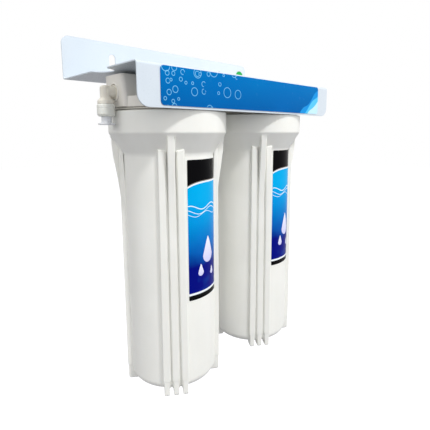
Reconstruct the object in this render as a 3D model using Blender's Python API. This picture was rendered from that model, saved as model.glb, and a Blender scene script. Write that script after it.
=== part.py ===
"""Two-stage water filter: two cartridge housings hung from one bent wall bracket.

Metres, +Z up, the wall on the +Y side. The origin is the middle of the bracket's back plate,
on the face that lies against the wall. Each housing has its own frame, whose origin is on the
housing's axis at the top edge of the sump's collar.
"""

import math

import bmesh
import bpy
from mathutils import Matrix

MM = 0.001

# Gap left between pieces that touch, and how far a cutter runs past what it cuts
CLEARANCE = 0.3 * MM
OVERRUN = 2.0 * MM

# Facets of a full turn, by the size of what is turned
LARGE_TURN = 36
MIDDLE_TURN = 28
SMALL_TURN = 16
SCREW_TURN = 12
QUARTER_STEPS = 4

# Bracket: one sheet bent into a back plate, a shelf and a fascia
SHEET = 1.2 * MM
BRACKET_LENGTH = 272.5 * MM
BACK_HEIGHT = 44.0 * MM
FASCIA_HEIGHT = 35.1 * MM
BEND_INNER_RADIUS = 1.8 * MM
BACK_CORNER_RADIUS = 8.0 * MM
FASCIA_CORNER_RADIUS = 10.5 * MM
NOTCH_RADIUS = 13.0 * MM
NOTCH_MOUTH_RADIUS = 3.0 * MM
WALL_SLOT_WIDTH = 7.4 * MM
WALL_SLOT_HEIGHT = 19.6 * MM
WALL_SLOT_SPACING = 161.8 * MM

# Labels
LABEL_THICKNESS = 0.3 * MM
FASCIA_LABEL_LENGTH = 229.8 * MM
FASCIA_LABEL_MARGIN = 2.0 * MM
FASCIA_LABEL_CORNER = 3.5 * MM
STICKER_RADIUS = 7.0 * MM
STICKER_FROM_END = 13.0 * MM
STICKER_FROM_TOP = 15.5 * MM
SUMP_LABEL_HEIGHT = 138.8 * MM
SUMP_LABEL_SIDE_GAP = 1.4 * MM
INLET_LABEL_GAP = 5.0 * MM
OUTLET_LABEL_GAP = 0.5 * MM
SUMP_LABEL_STEPS = 12

# Housings: the gaps round their collars, and the screws that hold them to the shelf
HOUSING_GAP = 9.6 * MM
WALL_GAP = 20.2 * MM
FASCIA_GAP = 0.8 * MM
SCREW_SPACING = 54.0 * MM
SCREW_SHANK_RADIUS = 1.5 * MM
SCREW_LENGTH = 13.0 * MM
SCREW_FLANGE_RADIUS = 4.6 * MM
SCREW_FLANGE_HEIGHT = 0.9 * MM
SCREW_HEAD_FLATS = 7.0 * MM
SCREW_HEAD_HEIGHT = 3.0 * MM
SCREW_HOLE_RADIUS = 2.6 * MM

# Cap, from the shelf downwards
BOSS_RISE = 2.2 * MM
BOSS_RADIUS = 5.5 * MM
BOSS_WEB = 3.0 * MM
BLOCK_HEIGHT = 18.9 * MM
BLOCK_HALF_WIDTH = 16.0 * MM
BLOCK_EDGE_RADIUS = 4.0 * MM
BLOCK_OVERHANG = 0.2 * MM
BLOCK_LEAN = 2.3 * MM
CAP_STEP = 2.0 * MM
CAP_EDGE = 1.2 * MM
RIM_HEIGHT = 9.7 * MM
SEAM_GROOVE = 1.0 * MM
SEAM_GROOVE_DEPTH = 2.5 * MM
SEAM_RING = 0.7 * MM
SEAM_RING_RECESS = 0.8 * MM
COLLAR_GAP = 1.2 * MM
DECK_THICKNESS = 6.6 * MM
PORT_GAP = 8.2 * MM
PORT_PAD_RADIUS = 8.6 * MM
PORT_RADIUS = 6.6 * MM
PORT_DEPTH = 16.0 * MM
WATERWAY_RADIUS = 4.0 * MM

# Thread between cap and sump, drawn as plain cylinders
THREAD_HEIGHT = 2.2 * MM
THREAD_LENGTH = 14.5 * MM
SKIRT_LENGTH = 7.5 * MM
SEAL_CLEARANCE = 0.7 * MM
SKIRT_WALL = 6.0 * MM
SEAL_RADIUS = 1.3 * MM
SEAL_GROOVE_DEPTH = 2.8 * MM
SEAL_SIDES = 6

# Cartridges, and the knife edges and spigots that hold them
CARTRIDGE_LENGTH = 248.0 * MM
CARTRIDGE_RADIUS = 31.0 * MM
CARTRIDGE_BORE_RADIUS = 14.0 * MM
KNIFE_DEPTH = 13.2 * MM
KNIFE_WIDTH = 2.0 * MM
KNIFE_OFFSET = 3.0 * MM
KNIFE_POINT = 1.0 * MM
SPIGOT_CLEARANCE = 1.6 * MM
SPIGOT_LENGTH = 8.0 * MM
SEAT_HEIGHT = 10.8 * MM
END_CAP_THICKNESS = 4.0 * MM
END_CAP_SKIRT = 7.0 * MM
END_CAP_WALL = 1.5 * MM
GASKET_THICKNESS = 2.0 * MM

# Sump
COLLAR_RADIUS = 59.0 * MM
COLLAR_WALL = 5.0 * MM
COLLAR_HEIGHT = 19.9 * MM
COLLAR_EDGE = 0.8 * MM
CONE_HEIGHT = 20.1 * MM
BODY_RADIUS = 46.0 * MM
BODY_WALL = 3.5 * MM
FLOOR_THICKNESS = 5.0 * MM
BOTTOM_CORNER_RADIUS = 9.5 * MM

# Ribs of the sump: groups of three upright ribs that end in feet
RIB_GROUPS = 4
RIB_GROUP_TURN = math.radians(34)
RIB_PITCH = 9.3 * MM
RIB_BASE_WIDTH = 8.2 * MM
RIB_EDGE_WIDTH = 7.8 * MM
RIB_RISE = 3.2 * MM
RIB_FLARE = 6.6 * MM
SIDE_RIB_DROP = 6.0 * MM
SIDE_RIB_SLOPE = 2.4 * MM
FOOT_HEIGHT = 12.9 * MM
FOOT_DROP = 3.4 * MM
FOOT_WIDTH = 5.6 * MM
FOOT_LENGTH = 10.5 * MM
FOOT_TIP = 2.4 * MM
FOOT_STEP = 0.4 * MM
# Height down the rib and width of the flare there, as shares of rib length and of RIB_FLARE
FLARE_SHARES = ((0.0, 1.0), (0.03, 0.95), (0.09, 0.7), (0.14, 0.42), (0.2, 0.18), (0.3, 0.05))

# Elbows: quick-connect fittings for a tube of 1/4 inch
TUBE_RADIUS = 3.18 * MM
TUBE_CLEARANCE = 0.22 * MM
ELBOW_RADIUS = 5.3 * MM
ELBOW_TOP = 5.2 * MM
ELBOW_ARM_RADIUS = 5.2 * MM
ELBOW_BORE_RADIUS = 2.4 * MM
ELBOW_FLARE_DROP = 5.4 * MM
ELBOW_RING_RADIUS = 7.4 * MM
ELBOW_RING_TOP = 8.2 * MM
ELBOW_RING_HEIGHT = 2.5 * MM
PORT_DROP = 15.1 * MM
NUT_RADIUS = 8.1 * MM
NUT_GAP = 0.4 * MM
NUT_HEIGHT = 9.9 * MM
NUT_EDGE = 1.1 * MM
NUT_FLOOR = 1.9 * MM
SOCKET_RADIUS = 5.4 * MM
SKIRT_RADIUS = 6.8 * MM
TUBE_SEAL_RADIUS = 0.9 * MM
COLLET_WALL = 1.1 * MM
COLLET_BARB = 0.6 * MM
COLLET_NECK = 6.8 * MM
COLLET_FLANGE_RADIUS = 7.9 * MM
COLLET_FLANGE_HEIGHT = 1.4 * MM
COLLET_TAIL = 5.0 * MM
NIPPLE_FLATS = 17.0 * MM
STUB_LENGTH = 11.0 * MM

# Places that follow from the sizes above, in the frame of the whole part
HOUSING_SPACING = 2 * COLLAR_RADIUS + HOUSING_GAP
HOUSING_X = HOUSING_SPACING / 2
HOUSING_FROM_WALL = COLLAR_RADIUS + WALL_GAP
SHELF_DEPTH = HOUSING_FROM_WALL + COLLAR_RADIUS + FASCIA_GAP + SHEET
SHELF_UNDERSIDE = -BACK_HEIGHT / 2
HOUSING_TOP = SHELF_UNDERSIDE - CLEARANCE - BOSS_RISE - BLOCK_HEIGHT - RIM_HEIGHT
COLLAR_TOP = HOUSING_TOP - SEAM_GROOVE - SEAM_RING - COLLAR_GAP

# Heights in the frame of a housing
RING_TOP = COLLAR_GAP + SEAM_RING
RIM_BOTTOM = RING_TOP + SEAM_GROOVE
DECK_TOP = RIM_BOTTOM + RIM_HEIGHT
BLOCK_TOP = DECK_TOP + BLOCK_HEIGHT
BOSS_TOP = BLOCK_TOP + BOSS_RISE
DECK_UNDERSIDE = DECK_TOP - DECK_THICKNESS
SKIRT_END = THREAD_LENGTH + SKIRT_LENGTH
PORT_HEIGHT = BLOCK_TOP - PORT_DROP
CARTRIDGE_TOP = -KNIFE_DEPTH - CLEARANCE
CARTRIDGE_BOTTOM = CARTRIDGE_TOP - CARTRIDGE_LENGTH
SEAT_TOP = CARTRIDGE_BOTTOM - CLEARANCE
FLOOR_TOP = SEAT_TOP - SEAT_HEIGHT
BODY_BOTTOM = FLOOR_TOP - FLOOR_THICKNESS
CONE_TOP = -COLLAR_HEIGHT
CONE_END = CONE_TOP - CONE_HEIGHT
PORT_FACE = (HOUSING_SPACING - PORT_GAP) / 2
BLOCK_HALF_LENGTH = PORT_FACE + BLOCK_OVERHANG
# From the face of the port to the elbow's upright axis, so that the nut clears the collar
ELBOW_REACH = COLLAR_RADIUS - PORT_FACE + NUT_RADIUS + NUT_GAP

BORE_CONE_TOP = -SKIRT_END - THREAD_HEIGHT
BORE_CONE_END = CONE_END - BODY_WALL / 2
SEAL_GROOVE_HEIGHT = 2 * (SEAL_RADIUS + CLEARANCE)
SEAL_GROOVE_TOP = -THREAD_LENGTH - (SKIRT_LENGTH - SEAL_GROOVE_HEIGHT) / 2
SPIGOT_END = CARTRIDGE_TOP - SPIGOT_LENGTH
WATERWAY_X = PORT_FACE - PORT_DEPTH - WATERWAY_RADIUS - OVERRUN

# Radii that follow from the sizes above
CAP_RADIUS = COLLAR_RADIUS - CAP_STEP
THREAD_ROOT_RADIUS = COLLAR_RADIUS - COLLAR_WALL - THREAD_HEIGHT - CLEARANCE
SKIRT_OUTER = THREAD_ROOT_RADIUS - CLEARANCE
SEAL_GROOVE_ROOT = SKIRT_OUTER - SEAL_GROOVE_DEPTH
SEAL_BORE = SKIRT_OUTER + SEAL_CLEARANCE
THREAD_BORE = THREAD_ROOT_RADIUS + THREAD_HEIGHT + CLEARANCE
BODY_BORE = BODY_RADIUS - BODY_WALL
SPIGOT_RADIUS = CARTRIDGE_BORE_RADIUS - SPIGOT_CLEARANCE
KNIFE_RADIUS = CARTRIDGE_BORE_RADIUS + KNIFE_OFFSET
TUBE_BORE = TUBE_RADIUS + TUBE_CLEARANCE
STUB_RADIUS = PORT_RADIUS - CLEARANCE
COLLET_RADIUS = TUBE_BORE + COLLET_WALL

# Heights of an elbow's pieces, below the axis of its arm
ELBOW_RING_BOTTOM = -ELBOW_RING_TOP - ELBOW_RING_HEIGHT
NUT_TOP = ELBOW_RING_BOTTOM - CLEARANCE
NUT_BOTTOM = NUT_TOP - NUT_HEIGHT
SOCKET_END = NUT_BOTTOM + NUT_FLOOR + CLEARANCE

# Colours and roughness
COATED_STEEL = ((0.78, 0.86, 0.91), 0.35, 0.0)
BLUE_PRINT = ((0.0, 0.16, 0.58), 0.3, 0.0)
GREEN_PAPER = ((0.0, 0.36, 0.08), 0.5, 0.0)
WHITE_PLASTIC = ((0.82, 0.82, 0.79), 0.4, 0.0)
IVORY_PLASTIC = ((0.72, 0.70, 0.62), 0.4, 0.0)
COOL_PLASTIC = ((0.72, 0.76, 0.84), 0.35, 0.0)
ZINC = ((0.6, 0.6, 0.62), 0.35, 1.0)
BLACK_RUBBER = ((0.02, 0.02, 0.02), 0.6, 0.0)
WHITE_FIBRE = ((0.86, 0.86, 0.83), 0.9, 0.0)
CARBON = ((0.03, 0.03, 0.03), 0.85, 0.0)


def clear_scene():
    for old in list(bpy.data.objects):
        bpy.data.objects.remove(old, do_unlink=True)


def material(name, finish):
    colour, roughness, metallic = finish
    made = bpy.data.materials.new(name)
    made.use_nodes = True
    shader = made.node_tree.nodes["Principled BSDF"]
    shader.inputs["Base Color"].default_value = (*colour, 1.0)
    shader.inputs["Roughness"].default_value = roughness
    shader.inputs["Metallic"].default_value = metallic
    return made


def mesh_from(bm):
    """Faces turned outwards, and the bmesh made into a mesh."""
    bmesh.ops.recalc_face_normals(bm, faces=bm.faces)
    mesh = bpy.data.meshes.new("shape")
    bm.to_mesh(mesh)
    bm.free()
    return mesh


def combined(base, tool, operation):
    """The mesh that a Boolean makes of two meshes."""
    holder = bpy.data.objects.new("boolean_base", base)
    helper = bpy.data.objects.new("boolean_tool", tool)
    helper.hide_render = True
    helper.display_type = "WIRE"
    for made in (holder, helper):
        bpy.context.scene.collection.objects.link(made)
    modifier = holder.modifiers.new("boolean", "BOOLEAN")
    modifier.operation = operation
    modifier.solver = "EXACT"
    modifier.object = helper
    graph = bpy.context.evaluated_depsgraph_get()
    result = bpy.data.meshes.new_from_object(holder.evaluated_get(graph))
    for made in (holder, helper):
        bpy.data.objects.remove(made, do_unlink=True)
    return result


def joined(*meshes):
    """One mesh that holds several shapes which don't meet, for use as a Boolean's tool."""
    bm = bmesh.new()
    for mesh in meshes:
        bm.from_mesh(mesh)
    return mesh_from(bm)


def moved(mesh, matrix):
    copy = mesh.copy()
    copy.transform(matrix)
    return copy


def placed(name, mesh, finish, location=(0.0, 0.0, 0.0), turn=0.0):
    """The named object of one sub-part."""
    mesh = mesh.copy()
    mesh.name = name
    mesh.materials.clear()
    mesh.materials.append(material(name, finish))
    mesh.shade_smooth()
    mesh.set_sharp_from_angle(angle=math.radians(30))
    made = bpy.data.objects.new(name, mesh)
    made.location = location
    made.rotation_euler = (0.0, 0.0, turn)
    bpy.context.scene.collection.objects.link(made)
    return made


def arc(centre, radius, start, end, steps=QUARTER_STEPS):
    """Points along an arc in a plane, its ends included, with angles in degrees."""
    points = []
    for step in range(steps + 1):
        angle = math.radians(start + (end - start) * step / steps)
        points.append((centre[0] + radius * math.cos(angle), centre[1] + radius * math.sin(angle)))
    return points


def rounded_rectangle(left, right, low, high, low_radius, high_radius):
    return (
        arc((right - low_radius, low + low_radius), low_radius, -90, 0)
        + arc((right - high_radius, high - high_radius), high_radius, 0, 90)
        + arc((left + high_radius, high - high_radius), high_radius, 90, 180)
        + arc((left + low_radius, low + low_radius), low_radius, 180, 270)
    )


def prism(outline, axis, low, high):
    """A flat outline pushed along an axis. The outline's two numbers are the other two axes."""
    places = {
        "X": lambda first, second, along: (along, first, second),
        "Y": lambda first, second, along: (first, along, second),
        "Z": lambda first, second, along: (first, second, along),
    }
    bm = bmesh.new()
    corners = [bm.verts.new(places[axis](first, second, low)) for first, second in outline]
    base = bm.faces.new(corners)
    pushed = bmesh.ops.extrude_face_region(bm, geom=[base])
    top = [item for item in pushed["geom"] if isinstance(item, bmesh.types.BMVert)]
    offset = places[axis](0.0, 0.0, high - low)
    bmesh.ops.translate(bm, verts=top, vec=offset)
    bmesh.ops.remove_doubles(bm, verts=bm.verts, dist=OVERRUN * 1e-5)
    return mesh_from(bm)


def lofted(low_outline, high_outline, low, high):
    """A solid between two level outlines that have equally many points."""
    bm = bmesh.new()
    bottom = [bm.verts.new((x, y, low)) for x, y in low_outline]
    top = [bm.verts.new((x, y, high)) for x, y in high_outline]
    bm.faces.new(bottom)
    bm.faces.new(top)
    for here in range(len(bottom)):
        after = (here + 1) % len(bottom)
        bm.faces.new((bottom[here], bottom[after], top[after], top[here]))
    return mesh_from(bm)


def hexagon_radius(flats, angle):
    """Distance from the middle of a hexagon to its side, in the direction of an angle."""
    side = math.pi / 3
    return flats / 2 / math.cos((angle + side / 2) % side - side / 2)


def turned(profile, segments, hexagons=()):
    """A solid of revolution about Z.

    The profile is a closed loop of (radius, height) points, which may run along the axis.
    Points whose place is listed in hexagons lie on a hexagon of twice that radius over its flats.
    """
    bm = bmesh.new()
    rings = []
    for place, (radius, height) in enumerate(profile):
        if radius == 0:
            rings.append([bm.verts.new((0.0, 0.0, height))])
            continue
        ring = []
        for segment in range(segments):
            angle = 2 * math.pi * segment / segments
            reach = hexagon_radius(2 * radius, angle) if place in hexagons else radius
            ring.append(bm.verts.new((reach * math.cos(angle), reach * math.sin(angle), height)))
        rings.append(ring)
    pairs = list(zip(rings, rings[1:] + rings[:1]))
    for first, second in pairs:
        if len(first) == len(second) == 1:
            continue
        for here in range(segments):
            after = (here + 1) % segments
            corners = [first[here % len(first)], first[after % len(first)]]
            corners += [second[after % len(second)], second[here % len(second)]]
            bm.faces.new(list(dict.fromkeys(corners)))
    return mesh_from(bm)


def rod(radius, low, high, segments):
    return turned([(0, low), (radius, low), (radius, high), (0, high)], segments)


def along_x(mesh):
    """A shape turned about Z laid down, so that its axis points along +X."""
    return moved(mesh, Matrix.Rotation(math.pi / 2, 4, "Y"))


def screw_places():
    half = SCREW_SPACING / 2
    return [(x, y) for x in (-half, half) for y in (-half, half)]


def bracket_section():
    """The bent sheet seen from its end, as (y, z) points."""
    outer = BEND_INNER_RADIUS + SHEET
    shelf_top = SHELF_UNDERSIDE + SHEET
    back_top = SHELF_UNDERSIDE + BACK_HEIGHT
    fascia_bottom = shelf_top - FASCIA_HEIGHT
    back_bend = (-outer, SHELF_UNDERSIDE + outer)
    front_bend = (-SHELF_DEPTH + outer, shelf_top - outer)
    return (
        [(0.0, back_top), (-SHEET, back_top)]
        + arc(back_bend, BEND_INNER_RADIUS, 0, -90)
        + arc(front_bend, outer, 90, 180)
        + [(-SHELF_DEPTH, fascia_bottom), (-SHELF_DEPTH + SHEET, fascia_bottom)]
        + arc(front_bend, BEND_INNER_RADIUS, 180, 90)
        + arc(back_bend, outer, -90, 0)
    )


def notch_outline():
    """The cut-out in the left end of the shelf, over the elbow, with rounded mouth corners."""
    edge = -BRACKET_LENGTH / 2
    reach = NOTCH_RADIUS + NOTCH_MOUTH_RADIUS
    rise = math.sqrt(reach**2 - NOTCH_MOUTH_RADIUS**2)
    swing = math.degrees(math.atan2(rise, NOTCH_MOUTH_RADIUS))
    upper = arc((edge + NOTCH_MOUTH_RADIUS, rise), NOTCH_MOUTH_RADIUS, 180, 180 + swing)
    round_end = arc((edge, 0.0), NOTCH_RADIUS, swing, -swing, 3 * QUARTER_STEPS)
    lower = [(x, -y) for x, y in reversed(upper)]
    outline = [(edge - OVERRUN, rise)] + upper + round_end[1:-1] + lower
    outline.append((edge - OVERRUN, -rise))
    return [(x, y - HOUSING_FROM_WALL) for x, y in outline]


def wall_slot_outline(centre):
    radius = WALL_SLOT_WIDTH / 2
    reach = WALL_SLOT_HEIGHT / 2 - radius
    upper = arc((centre, reach), radius, 0, 180, 2 * QUARTER_STEPS)
    return upper + arc((centre, -reach), radius, 180, 360, 2 * QUARTER_STEPS)


def bracket_shape():
    half = BRACKET_LENGTH / 2
    top = SHELF_UNDERSIDE + BACK_HEIGHT
    bottom = SHELF_UNDERSIDE + SHEET - FASCIA_HEIGHT
    sheet = prism(bracket_section(), "X", -half, half)
    front = rounded_rectangle(-half, half, bottom, top, FASCIA_CORNER_RADIUS, BACK_CORNER_RADIUS)
    sheet = combined(sheet, prism(front, "Y", -SHELF_DEPTH - OVERRUN, OVERRUN), "INTERSECT")
    below = SHELF_UNDERSIDE - OVERRUN
    above = SHELF_UNDERSIDE + SHEET + OVERRUN
    notch = prism(notch_outline(), "Z", below, above)
    cutters = [notch, moved(notch, Matrix.Scale(-1, 4, (1, 0, 0)))]
    for centre in (-WALL_SLOT_SPACING / 2, WALL_SLOT_SPACING / 2):
        cutters.append(prism(wall_slot_outline(centre), "Y", -SHEET - OVERRUN, OVERRUN))
    hole = rod(SCREW_HOLE_RADIUS, below, above, SCREW_TURN)
    for side in (-1, 1):
        for x, y in screw_places():
            place = (side * HOUSING_X + x, y - HOUSING_FROM_WALL, 0.0)
            cutters.append(moved(hole, Matrix.Translation(place)))
    return combined(sheet, joined(*cutters), "DIFFERENCE")


def fascia_label_shape():
    half = FASCIA_LABEL_LENGTH / 2
    front = -SHELF_DEPTH - CLEARANCE
    high = SHELF_UNDERSIDE - FASCIA_LABEL_MARGIN / 4
    low = SHELF_UNDERSIDE + SHEET - FASCIA_HEIGHT + FASCIA_LABEL_MARGIN
    corner = FASCIA_LABEL_CORNER
    outline = rounded_rectangle(-half, half, low, high, corner, corner)
    return prism(outline, "Y", front - LABEL_THICKNESS, front)


def sticker_shape():
    disc = rod(STICKER_RADIUS, -LABEL_THICKNESS, 0.0, 2 * SMALL_TURN)
    return moved(disc, Matrix.Rotation(-math.pi / 2, 4, "X"))


def sump_label_shape(gap):
    """A patch wrapped round the sump's body between two groups of ribs, a gap below the cone."""
    inner = BODY_RADIUS + CLEARANCE
    outer = inner + LABEL_THICKNESS
    high = -COLLAR_HEIGHT - CONE_HEIGHT - gap
    low = high - SUMP_LABEL_HEIGHT
    rib_angle = math.asin((RIB_PITCH + RIB_BASE_WIDTH / 2) / BODY_RADIUS)
    half_angle = math.pi / RIB_GROUPS - rib_angle - SUMP_LABEL_SIDE_GAP / BODY_RADIUS
    section = [(inner, low), (outer, low), (outer, high), (inner, high)]
    bm = bmesh.new()
    rows = []
    for step in range(SUMP_LABEL_STEPS + 1):
        share = 2 * step / SUMP_LABEL_STEPS - 1
        angle = math.pi / RIB_GROUPS - RIB_GROUP_TURN + share * half_angle
        rows.append([bm.verts.new((r * math.sin(angle), -r * math.cos(angle), z)) for r, z in section])
    for first, second in zip(rows, rows[1:]):
        for here in range(len(section)):
            after = (here + 1) % len(section)
            bm.faces.new((first[here], first[after], second[after], second[here]))
    bm.faces.new(rows[0])
    bm.faces.new(rows[-1])
    return mesh_from(bm)


def cap_turned_shape():
    """The round of the cap: deck, rim, seam ring, threaded plug, seal groove and spigot."""
    cavity = SKIRT_OUTER - SKIRT_WALL
    groove_end = SEAL_GROOVE_TOP - SEAL_GROOVE_HEIGHT
    knife_root = -KNIFE_DEPTH + KNIFE_POINT
    profile = [
        (0, DECK_TOP),
        (CAP_RADIUS - CAP_EDGE, DECK_TOP),
        (CAP_RADIUS, DECK_TOP - CAP_EDGE),
        (CAP_RADIUS, RIM_BOTTOM),
        (CAP_RADIUS - SEAM_GROOVE_DEPTH, RIM_BOTTOM),
        (CAP_RADIUS - SEAM_GROOVE_DEPTH, RING_TOP),
        (CAP_RADIUS - SEAM_RING_RECESS, RING_TOP),
        (CAP_RADIUS - SEAM_RING_RECESS, COLLAR_GAP),
        (THREAD_ROOT_RADIUS, COLLAR_GAP),
        (THREAD_ROOT_RADIUS, -THREAD_LENGTH),
        (SKIRT_OUTER, -THREAD_LENGTH),
        (SKIRT_OUTER, SEAL_GROOVE_TOP),
        (SEAL_GROOVE_ROOT, SEAL_GROOVE_TOP),
        (SEAL_GROOVE_ROOT, groove_end),
        (SKIRT_OUTER, groove_end),
        (SKIRT_OUTER, -SKIRT_END),
        (cavity, -SKIRT_END),
        (cavity, DECK_UNDERSIDE),
        (KNIFE_RADIUS + KNIFE_WIDTH, DECK_UNDERSIDE),
        (KNIFE_RADIUS + KNIFE_WIDTH, knife_root),
        (KNIFE_RADIUS + KNIFE_WIDTH / 2, -KNIFE_DEPTH),
        (KNIFE_RADIUS, knife_root),
        (SPIGOT_RADIUS, knife_root),
        (SPIGOT_RADIUS, SPIGOT_END),
        (0, SPIGOT_END),
    ]
    return turned(profile, LARGE_TURN)


def port_cutter():
    """The two port bores, one at each end of the block."""
    port = along_x(rod(PORT_RADIUS, -PORT_DEPTH, OVERRUN, SMALL_TURN))
    outlet = moved(port, Matrix.Translation((PORT_FACE, 0.0, PORT_HEIGHT)))
    return joined(outlet, moved(outlet, Matrix.Rotation(math.pi, 4, "Z")))


def waterway_cutter():
    """The way from the inlet down to the outside of the cartridge."""
    run = along_x(rod(WATERWAY_RADIUS, -PORT_DEPTH, WATERWAY_RADIUS + OVERRUN, SMALL_TURN))
    run = moved(run, Matrix.Translation((-WATERWAY_X, 0.0, PORT_HEIGHT)))
    drop = rod(WATERWAY_RADIUS, DECK_UNDERSIDE - OVERRUN, PORT_HEIGHT, SMALL_TURN)
    drop = moved(drop, Matrix.Translation((-WATERWAY_X, 0.0, 0.0)))
    return combined(run, drop, "UNION")


def riser_cutter():
    """The way from the cartridge's bore up through the spigot to the outlet."""
    run = along_x(rod(WATERWAY_RADIUS, -WATERWAY_RADIUS - OVERRUN, PORT_FACE, SMALL_TURN))
    run = moved(run, Matrix.Translation((0.0, 0.0, PORT_HEIGHT)))
    riser = rod(WATERWAY_RADIUS, SPIGOT_END - OVERRUN, PORT_HEIGHT, SMALL_TURN)
    return combined(run, riser, "UNION")


def boss_web_outline(x, y):
    """Plan of the web that ties a screw boss to the side of the port block."""
    root = math.copysign(BLOCK_HALF_WIDTH - BOSS_WEB, y)
    low, high = sorted((root, y))
    left = x - BOSS_WEB / 2
    right = x + BOSS_WEB / 2
    return [(left, low), (right, low), (right, high), (left, high)]


def cap_shape():
    width = BLOCK_HALF_WIDTH
    edge = BLOCK_EDGE_RADIUS
    plans = []
    for length in (BLOCK_HALF_LENGTH - BLOCK_LEAN, BLOCK_HALF_LENGTH):
        plans.append(rounded_rectangle(-length, length, -width, width, edge, edge))
    block = lofted(*plans, RIM_BOTTOM + CLEARANCE, BLOCK_TOP)
    pads = along_x(rod(PORT_PAD_RADIUS, -PORT_FACE, PORT_FACE, SMALL_TURN))
    pads = moved(pads, Matrix.Translation((0.0, 0.0, PORT_HEIGHT)))
    foot = DECK_TOP - CAP_EDGE
    boss = rod(BOSS_RADIUS, foot, BOSS_TOP, SMALL_TURN)
    pilot_end = BOSS_TOP - SCREW_LENGTH - CLEARANCE
    pilot = rod(SCREW_SHANK_RADIUS + CLEARANCE, pilot_end, BOSS_TOP + OVERRUN, SCREW_TURN)
    places = screw_places()
    webs = [prism(boss_web_outline(x, y), "Z", foot, BLOCK_TOP - edge) for x, y in places]
    spots = [Matrix.Translation((x, y, 0.0)) for x, y in places]
    shape = combined(cap_turned_shape(), combined(block, pads, "UNION"), "UNION")
    shape = combined(shape, joined(*[moved(boss, spot) for spot in spots]), "UNION")
    shape = combined(shape, joined(*webs), "UNION")
    shape = combined(shape, joined(*[moved(pilot, spot) for spot in spots]), "DIFFERENCE")
    for cutter in (port_cutter(), waterway_cutter(), riser_cutter()):
        shape = combined(shape, cutter, "DIFFERENCE")
    return shape


def ring_shape(middle, radius, height, segments, sides):
    """An O-ring."""
    profile = []
    for side in range(sides):
        angle = 2 * math.pi * side / sides
        profile.append((middle + radius * math.cos(angle), height + radius * math.sin(angle)))
    return turned(profile, segments)


def cap_seal_shape():
    middle = SEAL_GROOVE_ROOT + CLEARANCE + SEAL_RADIUS
    height = SEAL_GROOVE_TOP - SEAL_GROOVE_HEIGHT / 2
    return ring_shape(middle, SEAL_RADIUS, height, LARGE_TURN, SEAL_SIDES)


def sump_cup_shape():
    """The collar, cone and body of the sump, hollow, with the cartridge's seat on its floor."""
    corner = BOTTOM_CORNER_RADIUS
    inner_corner = corner - BODY_WALL / 2
    bore_end = -THREAD_LENGTH - THREAD_HEIGHT
    spigot_top = CARTRIDGE_BOTTOM + SPIGOT_LENGTH
    profile = [
        (THREAD_BORE, 0),
        (COLLAR_RADIUS - COLLAR_EDGE, 0),
        (COLLAR_RADIUS, -COLLAR_EDGE),
        (COLLAR_RADIUS, CONE_TOP),
        (BODY_RADIUS, CONE_END),
    ]
    profile += arc((BODY_RADIUS - corner, BODY_BOTTOM + corner), corner, 0, -90)
    profile += [
        (0, BODY_BOTTOM),
        (0, spigot_top),
        (SPIGOT_RADIUS, spigot_top),
        (SPIGOT_RADIUS, FLOOR_TOP),
        (KNIFE_RADIUS, FLOOR_TOP),
        (KNIFE_RADIUS, SEAT_TOP - KNIFE_POINT),
        (KNIFE_RADIUS + KNIFE_WIDTH / 2, SEAT_TOP),
        (KNIFE_RADIUS + KNIFE_WIDTH, SEAT_TOP - KNIFE_POINT),
        (KNIFE_RADIUS + KNIFE_WIDTH, FLOOR_TOP),
    ]
    profile += arc((BODY_BORE - inner_corner, FLOOR_TOP + inner_corner), inner_corner, -90, 0)
    profile += [
        (BODY_BORE, BORE_CONE_END),
        (SEAL_BORE, BORE_CONE_TOP),
        (SEAL_BORE, bore_end),
        (THREAD_BORE, bore_end + THREAD_HEIGHT),
    ]
    return turned(profile, LARGE_TURN)


def cone_height(radius):
    """Height at which the outside of the sump's cone has this radius."""
    share = (COLLAR_RADIUS - radius) / (COLLAR_RADIUS - BODY_RADIUS)
    return -COLLAR_HEIGHT - CONE_HEIGHT * share


def wall_middle(height, offset):
    """How far out the middle of the cup's wall is, in a plane beside the axis by the offset."""
    share = min((CONE_TOP - height) / CONE_HEIGHT, 1.0)
    outer = COLLAR_RADIUS + (BODY_RADIUS - COLLAR_RADIUS) * share
    share = max((BORE_CONE_TOP - height) / (BORE_CONE_TOP - BORE_CONE_END), 0.0)
    inner = SEAL_BORE + (BODY_BORE - SEAL_BORE) * min(share, 1.0)
    return math.sqrt(((outer + inner) / 2) ** 2 - offset**2)


def rib_outline(offset):
    """A rib seen from its side, as (distance from the axis, height, width) points.

    The middle rib of a group flares out to the collar. The other two run straight up and slope
    in to the cone. The last points lie within the wall of the cup.
    """
    reach = BODY_RADIUS + RIB_RISE
    top_reach = reach if offset else reach + RIB_FLARE
    half_edge = RIB_EDGE_WIDTH / 2
    corner = math.hypot(top_reach, abs(offset) + half_edge) / math.cos(math.pi / LARGE_TURN)
    top = cone_height(corner) - (SIDE_RIB_DROP if offset else 0.0)
    root = top + (SIDE_RIB_SLOPE if offset else 0.0)
    shares = ((0.0, 1.0),) if offset else FLARE_SHARES
    end = BODY_BOTTOM + FOOT_HEIGHT
    outline = []
    for down, flare in shares:
        height = top - (top - end) * down
        outline.append((reach + (top_reach - reach) * flare, height, RIB_EDGE_WIDTH))
    outline.append((reach, end, RIB_EDGE_WIDTH))
    for height in (end, CONE_END, root):
        outline.append((wall_middle(height, offset), height, RIB_BASE_WIDTH))
    return outline


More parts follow.
